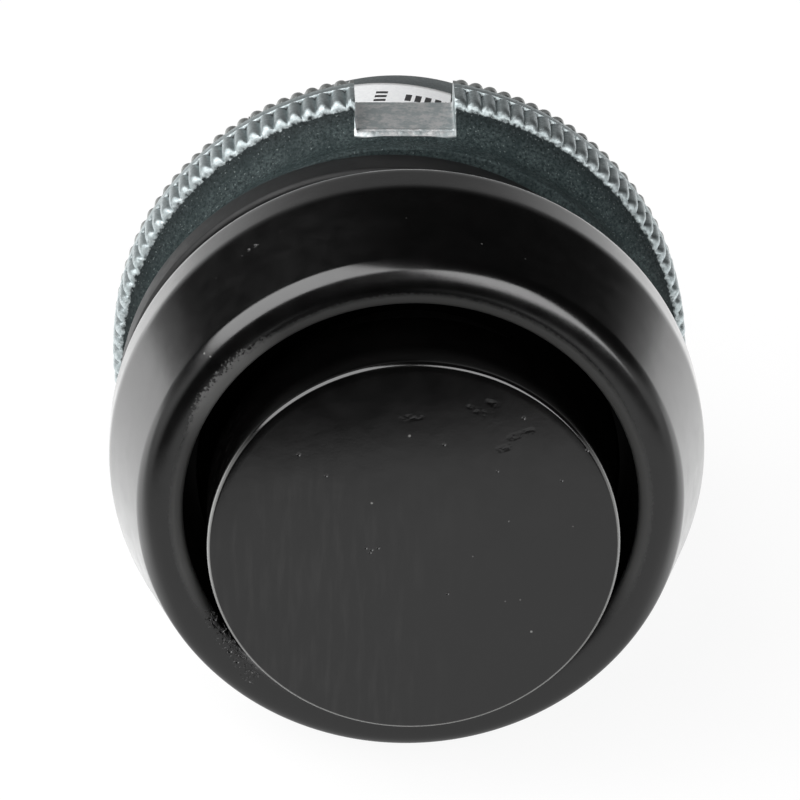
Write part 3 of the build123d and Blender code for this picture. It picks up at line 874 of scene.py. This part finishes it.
def make_bezel():
    """The bezel ring, turned from its profile with soft corners."""
    rim_set = RIM_ROUND * math.tan(math.radians(NOSE_LAST) / 2)
    rim_centre = (BEZEL_RADIUS - RIM_ROUND, RIM_FRONT + rim_set)
    rear_centre = (BEZEL_RADIUS - REAR_ROUND, BEZEL_REAR - REAR_ROUND)
    first = math.radians(NOSE_FIRST)
    inward = FACE_ROUND - NOSE_ROUND
    face_centre = (NOSE_CENTRE[0] - inward * math.cos(first), NOSE_CENTRE[1] + inward * math.sin(first))
    lip_radius = HOLE_RADIUS + LIP_ROUND
    face_reach = FACE_ROUND - LIP_ROUND
    face_last = math.degrees(math.acos((lip_radius - face_centre[0]) / face_reach))
    lip_along = face_centre[1] - face_reach * math.sin(math.radians(face_last))
    nose_end = on_round(NOSE_CENTRE, NOSE_ROUND, NOSE_LAST)
    profile = [
        run((HOLE_RADIUS, RECESS_FLOOR), (HOLE_RADIUS, lip_along), 8)[:-1],
        bend((lip_radius, lip_along), LIP_ROUND, 180, face_last, 8),
        bend(face_centre, FACE_ROUND, face_last, NOSE_FIRST, 14)[1:],
        bend(NOSE_CENTRE, NOSE_ROUND, NOSE_FIRST, NOSE_LAST, 26)[1:],
        run(nose_end, on_round(rim_centre, RIM_ROUND, NOSE_LAST), 14)[:-1],
        bend(rim_centre, RIM_ROUND, NOSE_LAST, 0, 6),
        run((BEZEL_RADIUS, rim_centre[1]), (BEZEL_RADIUS, rear_centre[1]), 6)[:-1],
        bend(rear_centre, REAR_ROUND, 0, -90, 6),
        path((rear_centre[0], BEZEL_REAR), ((THREAD_BORE, BEZEL_REAR), 6), ((THREAD_BORE, RECESS_FLOOR), 6),
             ((HOLE_RADIUS, RECESS_FLOOR), 2)),
    ]
    piece = lathe("bezel_shell", profile, BEZEL_COLUMNS, bezel_black)
    dress(piece, "base", "black_moulding", "bezel_ring")


def make_button():
    """The button: a flat face with a small edge round, a side wall and its hub."""
    edge = (BUTTON_RADIUS - BUTTON_ROUND, BUTTON_FRONT + BUTTON_ROUND)
    profile = [
        [(BUTTON_MIDDLE, BUTTON_FRONT)],
        run((BUTTON_MIDDLE, BUTTON_FRONT), (edge[0], BUTTON_FRONT), 30)[:-1],
        bend(edge, BUTTON_ROUND, 90, 0, 8),
        path((BUTTON_RADIUS, edge[1]), ((BUTTON_RADIUS, BUTTON_REAR), 12), ((BUTTON_INNER, BUTTON_REAR), 2),
             ((BUTTON_INNER, BUTTON_CORE), 4), ((HUB_RADIUS, BUTTON_CORE), 4), ((HUB_RADIUS, BUTTON_REAR), 4),
             ((SPIGOT_BORE, BUTTON_REAR), 2), ((SPIGOT_BORE, SPIGOT_FLOOR), 4),
             ((BUTTON_MIDDLE, SPIGOT_FLOOR), 4)),
    ]
    piece = lathe("button_cap", profile, BUTTON_COLUMNS, button_black, close=False, cap=True)
    dress(piece, "button", "black_moulding", "button_head")


def make_gasket():
    """The rubber washer with soft edges, hanging a little low and to one side."""
    front = (GASKET_RADIUS - GASKET_ROUND, GASKET_ROUND)
    rear = (GASKET_RADIUS - GASKET_ROUND, GASKET_REAR - GASKET_ROUND)
    profile = [
        run((GASKET_BORE, 0), (front[0], 0), 6)[:-1],
        bend(front, GASKET_ROUND, 90, 0, 8),
        bend(rear, GASKET_ROUND, 0, -90, 8),
        path((rear[0], GASKET_REAR), ((GASKET_BORE, GASKET_REAR), 6), ((GASKET_BORE, 0), 4)),
    ]
    piece = lathe("gasket_washer", profile, GASKET_COLUMNS, gasket_rubber, offset=GASKET_SAG)
    dress(piece, "base", "black_rubber", "gasket")


def thread_cut(along, angles):
    """How deep the neck's thread is cut at a place: flat crests, sloped sides and flat roots."""
    turn = (along / THREAD_PITCH - angles / FULL_TURN) % 1.0
    slope = np.clip((0.5 - np.abs(turn - 0.5) - THREAD_CREST) / THREAD_FLANK, 0, 1)
    run_out = np.clip((THREAD_END - along) / THREAD_RUN_OUT, 0, 1)
    lead = np.clip((along - NECK_FRONT) / THREAD_LEAD + THREAD_START, 0, 1)
    return THREAD_DEPTH * slope * run_out * lead


def casting_body():
    """The casting without its flange: cup, web, neck with thread, and collar."""
    cup_edge = (CUP_RADIUS - CUP_ROUND, CUP_REAR - CUP_ROUND)
    collar_edge = (COLLAR_RADIUS - COLLAR_ROUND, COLLAR_FRONT + COLLAR_ROUND)
    before = np.concatenate([
        [(CUP_RADIUS, FLANGE_REAR)],
        run((CUP_RADIUS, FLANGE_REAR), (CUP_RADIUS, cup_edge[1]), 10)[:-1],
        bend(cup_edge, CUP_ROUND, 0, -90, 4),
        path((cup_edge[0], CUP_REAR), ((CUP_BORE, CUP_REAR), 3), ((CUP_BORE, WEB_REAR), 6),
             ((SHAFT_BORE, WEB_REAR), 3), ((SHAFT_BORE, SEAL_REAR), 2), ((SEAL_RADIUS, SEAL_REAR), 2),
             ((SEAL_RADIUS, WEB_FRONT), 2), ((NECK_BORE, WEB_FRONT), 2), ((NECK_BORE, NECK_FRONT), 6),
             ((NECK_RADIUS, NECK_FRONT), 2))[:-1],
    ])
    thread = np.concatenate([
        [(NECK_RADIUS, NECK_FRONT)],
        run((NECK_RADIUS, NECK_FRONT), (NECK_RADIUS, COLLAR_FRONT), THREAD_ROWS),
    ])
    after = np.concatenate([
        run((NECK_RADIUS, COLLAR_FRONT), (collar_edge[0], COLLAR_FRONT), 4)[:-1],
        bend(collar_edge, COLLAR_ROUND, 90, 0, 4),
        run((COLLAR_RADIUS, collar_edge[1]), (COLLAR_RADIUS, cone_start()), 6),
    ])
    profile = np.concatenate([before, thread, after])
    angles = circle(BODY_COLUMNS)[None, :]
    radius = np.repeat(profile[:, :1], BODY_COLUMNS, 1)
    radius[len(before):len(before) + len(thread)] -= thread_cut(thread[:, 1:], angles)
    return turned(radius, profile[:, 1:], angles)


def ridge_radius(angles, first_tip):
    """The radius of a row of round ridges, with soft valleys."""
    step = FULL_TURN / RIDGE_COUNT
    offset = ((angles / step - first_tip + 0.5) % 1.0 - 0.5) * step * TIP_RADIUS
    half = step * TIP_RADIUS / 2
    arc = (half ** 2 + RIDGE_HEIGHT ** 2) / (2 * RIDGE_HEIGHT)
    crown = TIP_RADIUS - arc + np.sqrt(np.maximum(arc ** 2 - offset ** 2, 0))
    valley = TIP_RADIUS - RIDGE_HEIGHT * VALLEY_SHARE
    return (crown + valley + np.sqrt((crown - valley) ** 2 + VALLEY_SOFT ** 2)) / 2


def cone_start():
    """Where the collar's round into the flange's cone begins."""
    return CONE_FRONT - CONE_FILLET * math.tan(CONE_ANGLE / 2)


def cone_radius(along):
    """The flange's front: a concave round out of the collar, then a cone at 45 degrees."""
    into = np.clip(along - cone_start(), 0, CONE_FILLET * math.sin(CONE_ANGLE))
    fillet = CONE_FILLET - np.sqrt(CONE_FILLET ** 2 - into ** 2)
    return COLLAR_RADIUS + np.where(along - cone_start() > into, along - CONE_FRONT, fillet)


def mirrored(values, sign):
    """Values from the middle to one side, with those of the other side before them."""
    return np.concatenate([sign * values[:0:-1], values])


def notch_columns():
    """Angles across the notch and its walls, with the place of floor, walls and lips at each."""
    floor = np.linspace(0, NOTCH_HALF - NOTCH_CORNER, NOTCH_COLUMNS)
    beside, wall = np.array(NOTCH_WALL).T
    across = np.concatenate([floor, NOTCH_HALF + beside])
    height = np.concatenate([np.full(len(floor), NOTCH_FLOOR), wall])
    floor_angle = np.arctan2(floor, NOTCH_FLOOR)
    first = floor_angle[-1]
    last = max(math.atan2(across[-1], height[-1]), first + NOTCH_LEAST_TURN)
    wall_angle = np.linspace(first, last, len(wall) + 1)[1:]
    angle = np.concatenate([floor_angle, wall_angle])
    return mirrored(angle, -1), mirrored(across, -1), mirrored(height, 1)


def flange_rows(angles, wobble):
    """The radii round the flange at each place along it, from the collar to the cup."""
    even = np.ones_like(angles)
    rows = [(even * cone_radius(y), y) for y in [*(cone_start() + FILLET_ROWS), *CONE_ROWS]]
    front = cone_radius(CONE_REAR)
    front_ridge = ridge_radius(angles, FRONT_TURN)
    for y in RIDGE_ROWS:
        share = 1 - math.exp(-(y - CONE_REAR) / RIDGE_RISE)
        bead = BEAD_HEIGHT * (wobble + 0.5) * bell(y, BEAD_PLACE, BEAD_WIDTH)
        rows.append((front + (front_ridge - front) * share + bead, y))
    rows += [(even * (TIP_RADIUS - drop), y) for y, drop in BAND_ROWS]
    rear_ridge = ridge_radius(angles, REAR_TURN) - REAR_DROP
    round_front = FLANGE_REAR - FLANGE_REAR_ROUND
    round_rows = round_front + FLANGE_REAR_ROUND * np.sin(REAR_ROUND_ANGLES)
    for y in [*REAR_ROWS, *round_rows]:
        past = max(y - round_front, 0.0)
        drop = FLANGE_REAR_ROUND - math.sqrt(FLANGE_REAR_ROUND ** 2 - past ** 2)
        rows.append((rear_ridge - drop, y))
    return rows + [(even * radius, FLANGE_REAR) for radius in BACK_RADII]


def casting_flange():
    """The knurled flange: a cone, two rows of ridges, the parting band between them, and the notch."""
    notch_angle, notch_across, notch_height = notch_columns()
    notch = len(notch_angle)
    edge = notch_angle[-1] + NOTCH_SPACE
    round_angle = np.arange(0, FULL_TURN, FULL_TURN / RIDGE_COUNT / RIDGE_COLUMNS)
    round_angle = round_angle[(round_angle > edge) & (round_angle < FULL_TURN - edge)]
    angles = np.concatenate([notch_angle, round_angle])
    wobble = sum(np.sin(k * angles + k * k) for k in WOBBLE_WAVES) / WOBBLE_DIVISOR
    uneven = (1 + BURR_WOBBLE * wobble[:notch]) * (notch_height < NOTCH_FLOOR + BURR_REACH)
    points = []
    for radius, y in flange_rows(angles, wobble):
        ring = turned(radius, y, angles)
        burr = BURR_HEIGHT * bell(y, BURR_PLACE, BURR_WIDTH) - STEP_DEPTH * bell(y, STEP_PLACE, STEP_WIDTH)
        cut = np.stack([notch_across, np.full(notch, y), notch_height + burr * uneven], -1)
        over = radius[:notch] > np.hypot(cut[:, 0], cut[:, 2])
        ring[:notch] = np.where(over[:, None], cut, ring[:notch])
        points.append(ring)
    return np.array(points)


def screw_boss(side):
    """The wall of a screw boss in the cup."""
    wall = np.array([[WEB_REAR - BOSS_SUNK], [BOSS_REAR]])
    return turned(BOSS_RADIUS, wall, circle(BOSS_COLUMNS)[None, :]) + np.array([0, 0, side * BOSS_OFFSET])


def make_casting():
    """The zinc base casting, joined from its body, flange and bosses."""
    points, faces, first = [], [], 0
    for grid in (casting_body(), casting_flange(), screw_boss(-1), screw_boss(1)):
        rows, columns = grid.shape[:2]
        faces += grid_faces(rows, columns, first)
        points.append(grid.reshape(-1, 3))
        first += rows * columns
    piece = mesh_piece("cast_base", np.concatenate(points), faces, zinc, sharp=CAST_SHARP)
    dress(piece, "base", "cast_zinc", "base_housing")


def make_label():
    """The paper label, wrapped askew on the cup."""
    columns, rows = LABEL_GRID
    across, along = np.meshgrid(np.linspace(-0.5, 0.5, columns + 1), np.linspace(-0.5, 0.5, rows + 1))
    u = across * LABEL_SIZE[0]
    v = along * LABEL_SIZE[1]
    skew = math.radians(-LABEL_SKEW)
    x = LABEL_CENTRE[0] + u * math.cos(skew) - v * math.sin(skew)
    y = LABEL_CENTRE[1] + u * math.sin(skew) + v * math.cos(skew)
    radius = CUP_RADIUS + LABEL_THICKNESS
    points = np.stack([x, y, np.sqrt(radius ** 2 - x ** 2)], -1)
    corner = np.arange(rows)[:, None] * (columns + 1) + np.arange(columns)[None, :]
    faces = np.stack([corner, corner + 1, corner + columns + 2, corner + columns + 1], -1)
    piece = mesh_piece("label_sheet", points, faces.reshape(-1, 4).tolist(), paper)
    layer = piece.data.uv_layers.new(name="label")
    uv = np.stack([across + 0.5, along + 0.5], -1).reshape(-1, 2)
    for loop in piece.data.loops:
        layer.data[loop.index].uv = uv[loop.vertex_index]
    thick = piece.modifiers.new("thickness", "SOLIDIFY")
    thick.thickness = (LABEL_THICKNESS - LABEL_CLEARANCE) * MM
    thick.offset = -1.0
    dress(piece, "base", "label_paper", "label")


def make_spring():
    """The return spring: a coil of round wire."""
    turns = np.linspace(0, FULL_TURN * SPRING_TURNS, SPRING_POINTS)
    first, last = SPRING_FRONT + SPRING_WIRE, SPRING_REAR - SPRING_WIRE
    middle = turned(SPRING_RADIUS, np.linspace(first, last, SPRING_POINTS), turns)
    outward = turned(1.0, 0.0, turns)
    section = circle(SPRING_SIDES)
    forward = np.array([0.0, 1.0, 0.0])
    rings = middle[:, None] + SPRING_WIRE * (
        np.cos(section)[None, :, None] * outward[:, None] + np.sin(section)[None, :, None] * forward)
    faces = grid_faces(SPRING_POINTS, SPRING_SIDES)
    end_cap = np.arange(SPRING_SIDES)
    faces.append(end_cap.tolist())
    faces.append((end_cap + (SPRING_POINTS - 1) * SPRING_SIDES).tolist()[::-1])
    piece = mesh_piece("return_coil", rings, faces, spring_steel)
    dress(piece, "base", "spring_steel", "return_spring")
    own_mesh(piece)


# CAD nodes that stay, each with its material and the width of its edges' round
CAD_FINISH = {
    "plunger": (plunger_black, 0.12),
    "retaining_ring": (spring_steel, 0.08),
    "rod_seal": (seal_rubber, 0.1),
    "seal_washer": (plated_steel, 0.08),
    "contact_block_body": (block_black, 0.15),
    "contact_block_cover": (block_black, 0.12),
    "block_screws": (plated_steel, 0.12),
    "contact_carrier": (acetal, 0.1),
    "bridge_closed": (brass, 0.08),
    "bridge_open": (brass, 0.08),
    "bridge_tips": (silver, 0.08),
    "contact_springs": (spring_steel, 0.0),
    "fixed_contacts_closed": (brass, 0.08),
    "fixed_contacts_open": (brass, 0.08),
    "fixed_tips": (silver, 0.08),
    "terminal_clamps": (plated_steel, 0.1),
    "terminal_screws": (plated_steel, 0.12),
}


def finish_node(name, material, edge):
    """A CAD node that stays: its material, and a small round on its edges."""
    node = nodes[name]
    node.data.materials.clear()
    node.data.materials.append(material)
    weld = node.modifiers.new("weld", "WELD")
    weld.merge_threshold = WELD_REACH * MM
    bevel = node.modifiers.new("edges", "BEVEL")
    bevel.width = edge * MM
    bevel.segments = 2
    bevel.limit_method = "ANGLE"
    bevel.angle_limit = EDGE_ANGLE
    bevel.harden_normals = True


def table_material():
    """The white table, with the object's soft shadow. In reflections it is dark in front of the object, with
    painted light at its sides and behind.
    """
    material, tree, _ = new_material("white_table")
    tree.nodes.clear()
    ray = add_node(tree, "ShaderNodeLightPath").outputs
    seen = any_of(tree, (ray["Is Camera Ray"], ray["Is Glossy Ray"], ray["Is Transmission Ray"]))
    across, along, _ = parts_of(tree, place(tree))
    # Painted light: brighter at the sides and behind, in reflections only
    aside = fade(tree, math_node(tree, "ABSOLUTE", across), *LIT_ASIDE)
    lit = product(tree, aside, fade(tree, along, *LIT_ALONG))
    lit = math_node(tree, "MAXIMUM", lit, fade(tree, along, *LIT_BEHIND))
    lit = product(tree, lit, rest_of(tree, ray["Is Camera Ray"]))
    brightness = mix_colour(tree, ray["Is Camera Ray"], ramp(tree, lit, *TABLE_GLOW), TABLE_SEEN)
    glow = add_node(tree, "ShaderNodeEmission", {"Color": brightness, "Strength": 1.0})
    plain = add_node(tree, "ShaderNodeBsdfDiffuse", {"Color": ramp(tree, lit, *TABLE_PLAIN)})
    white = add_node(tree, "ShaderNodeBsdfDiffuse", {"Color": TABLE_WHITE})
    bright = add_node(tree, "ShaderNodeAddShader", {0: glow.outputs[0], 1: plain.outputs[0]})
    mixed = add_node(tree, "ShaderNodeMixShader", {0: seen, 1: white.outputs[0], 2: bright.outputs[0]})
    add_node(tree, "ShaderNodeOutputMaterial", {"Surface": mixed.outputs[0]})
    return material


def make_stage():
    """The white table that the switch lies on, with its front edge near the button."""
    mesh = bpy.data.meshes.new("table_top")
    left, right = TABLE_EDGE
    corners = [left, right, (TABLE_REACH, right[1]), (TABLE_REACH, TABLE_REACH)]
    corners += [(-TABLE_REACH, TABLE_REACH), (-TABLE_REACH, left[1])]
    mesh.from_pydata([(x * MM, y * MM, TABLE_HEIGHT * MM) for x, y in corners], [], [range(len(corners))])
    mesh.materials.append(table_material())
    add_object("table_top", mesh)


def make_world():
    """A dim room for light and reflections, and white for the eye."""
    world = bpy.data.worlds.new("room")
    scene.world = world
    world.use_nodes = True
    tree = world.node_tree
    tree.nodes.clear()
    across, along, up = parts_of(tree, place(tree, "Generated"))
    height = math_node(tree, "MULTIPLY_ADD", up, 0.5, 0.5)
    turn = math_node(tree, "MULTIPLY_ADD", along, 0.5, 0.5)
    ceiling = ramp(tree, height, 0.0, 1.0, *ROOM_CEILING_HEIGHTS)
    behind = mix_colour(tree, ceiling, ramp(tree, height, *ROOM_REAR, *ROOM_REAR_HEIGHTS), ROOM_CEILING)
    ahead = ramp(tree, height, *ROOM_FRONT, *ROOM_FRONT_HEIGHTS)
    room = mix_colour(tree, ramp(tree, turn, 0.0, 1.0, *ROOM_TURNS), ahead, behind)
    aside = ramp(tree, math_node(tree, "ABSOLUTE", across), 0.0, 1.0, *HAZE_SIDES)
    haze = product(tree, aside, ramp(tree, height, HAZE_SHARE, 0.0, *HAZE_HEIGHTS))
    room = mix_colour(tree, haze, room, HAZE)
    ray = add_node(tree, "ShaderNodeLightPath").outputs
    room = mix_colour(tree, ray["Is Diffuse Ray"], room, ROOM_DIFFUSE)
    shade = mix_colour(tree, ray["Is Camera Ray"], room, 1.0)
    sky = add_node(tree, "ShaderNodeBackground", {"Color": shade, "Strength": 1.0})
    add_node(tree, "ShaderNodeOutputWorld", {"Surface": sky.outputs[0]})


def way_to(azimuth, elevation):
    """The direction of a lamp or camera, in degrees round from the front and up."""
    a, e = math.radians(azimuth), math.radians(elevation)
    return Vector((math.sin(a) * math.cos(e), -math.cos(a) * math.cos(e), math.sin(e)))


def soft_box(name, azimuth, elevation, roll, distance, size, brightness):
    """A soft lamp that faces the object. Its brightness is that of its face."""
    way = way_to(azimuth, elevation)
    lamp = bpy.data.lights.new(name, "AREA")
    lamp.shape = "RECTANGLE"
    lamp.size, lamp.size_y = size
    lamp.energy = brightness * math.pi * size[0] * size[1]
    box = add_object(name, lamp)
    box.location = way * distance
    turn = way.to_track_quat("Z", "Y") @ Quaternion((0.0, 0.0, 1.0), math.radians(roll))
    box.rotation_euler = turn.to_euler()


def make_camera():
    """The camera at the photograph's viewing angle."""
    back = way_to(CAMERA_AZIMUTH, CAMERA_ELEVATION)
    azimuth = math.radians(CAMERA_AZIMUTH)
    right = Vector((math.cos(azimuth), math.sin(azimuth), 0.0))
    up = back.cross(right)
    aim = Vector(CAMERA_TARGET) + right * CAMERA_OFFSET[0] + up * CAMERA_OFFSET[1]
    spot = aim + back * CAMERA_DISTANCE
    turn = Matrix((right, up, back)).transposed().to_4x4()
    roll = Matrix.Rotation(math.radians(-CAMERA_ROLL), 4, "Y")
    data = bpy.data.cameras.new("camera")
    data.lens = CAMERA_LENS
    data.sensor_width = CAMERA_SENSOR
    data.clip_start = CAMERA_CLIP
    camera = add_object("camera", data)
    camera.matrix_world = roll @ Matrix.Translation(spot * MM) @ turn
    scene.camera = camera


make_bezel()
make_button()
make_gasket()
make_casting()
make_label()
make_spring()
for name, (material, edge) in CAD_FINISH.items():
    finish_node(name, material, edge)
make_stage()
make_world()
for name, lamp in LAMPS.items():
    soft_box(name, *lamp)
make_camera()
scene.view_settings.view_transform = "Standard"
